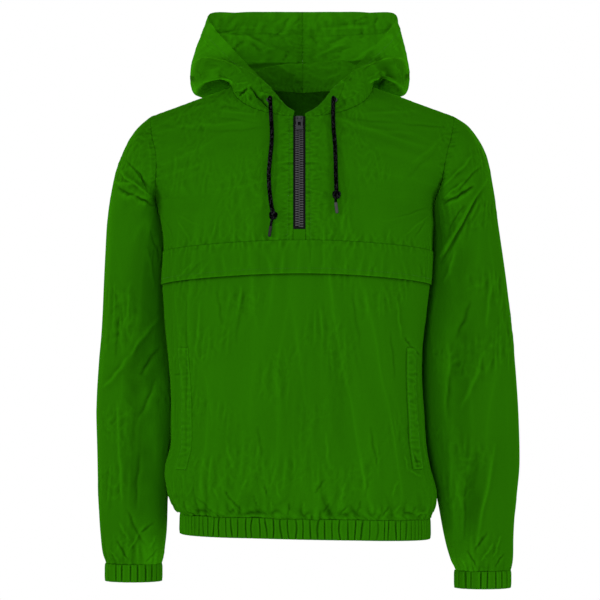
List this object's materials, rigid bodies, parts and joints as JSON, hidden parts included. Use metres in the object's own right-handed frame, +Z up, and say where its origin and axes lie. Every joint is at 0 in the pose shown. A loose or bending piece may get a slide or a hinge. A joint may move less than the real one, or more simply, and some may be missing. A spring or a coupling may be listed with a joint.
{
  "type": "hooded anorak pullover",
  "caption": "Half-zip hooded anorak pullover in crinkled nylon, filled out as worn, with a front pocket flap, side welts, drawcords, and a gathered hem and cuffs.",
  "frame": {"origin": "between the two shoulder seams' inner ends, at the base of the neck, where the wearer's shoulders or a hanger hold the garment", "axes": "+Z up towards the hood, +X to the wearer's left, +Y to the back"},
  "size_m": [0.6555, 0.3006, 0.8998],
  "materials": {
    "green_nylon": "crinkled light plain-weave nylon with a soft sheen",
    "black_tape": "matte woven zip tape",
    "black_cord": "matte round braid",
    "dark_metal": "dark satin zip metal",
    "hard_tip": "dark grey satin tip"
  },
  "bodies": {
    "garment": {"front_yoke_left": "green_nylon", "front_yoke_right": "green_nylon", "front_lower": "green_nylon", "pocket_flap": "green_nylon", "side_welt_left": "green_nylon", "side_welt_right": "green_nylon", "back": "green_nylon", "sleeve_left": "green_nylon", "sleeve_right": "green_nylon", "cuff_left": "green_nylon", "cuff_right": "green_nylon", "hood_left": "green_nylon", "hood_right": "green_nylon", "waistband": "green_nylon", "zip_stop_patch": "green_nylon", "zip_tape": "black_tape", "zip_chain": "dark_metal", "zip_slider": "dark_metal", "eyelet_left": "dark_metal", "eyelet_right": "dark_metal", "drawcord_left": "black_cord", "drawcord_right": "black_cord", "knot_left": "black_cord", "knot_right": "black_cord", "cord_tail_left": "black_cord", "cord_tail_right": "black_cord", "cord_tip_left": "hard_tip", "cord_tip_right": "hard_tip"},
    "pull_tab": {"zip_pull": "dark_metal"}
  },
  "joints": [
    {"name": "pull_tab_hinge", "type": "hinge", "parent": "garment", "child": "pull_tab", "pos_m": [-0.0048, -0.08964, -0.05153], "axis": [-1, 0, 0], "range_deg": [0, 165]}
  ]
}
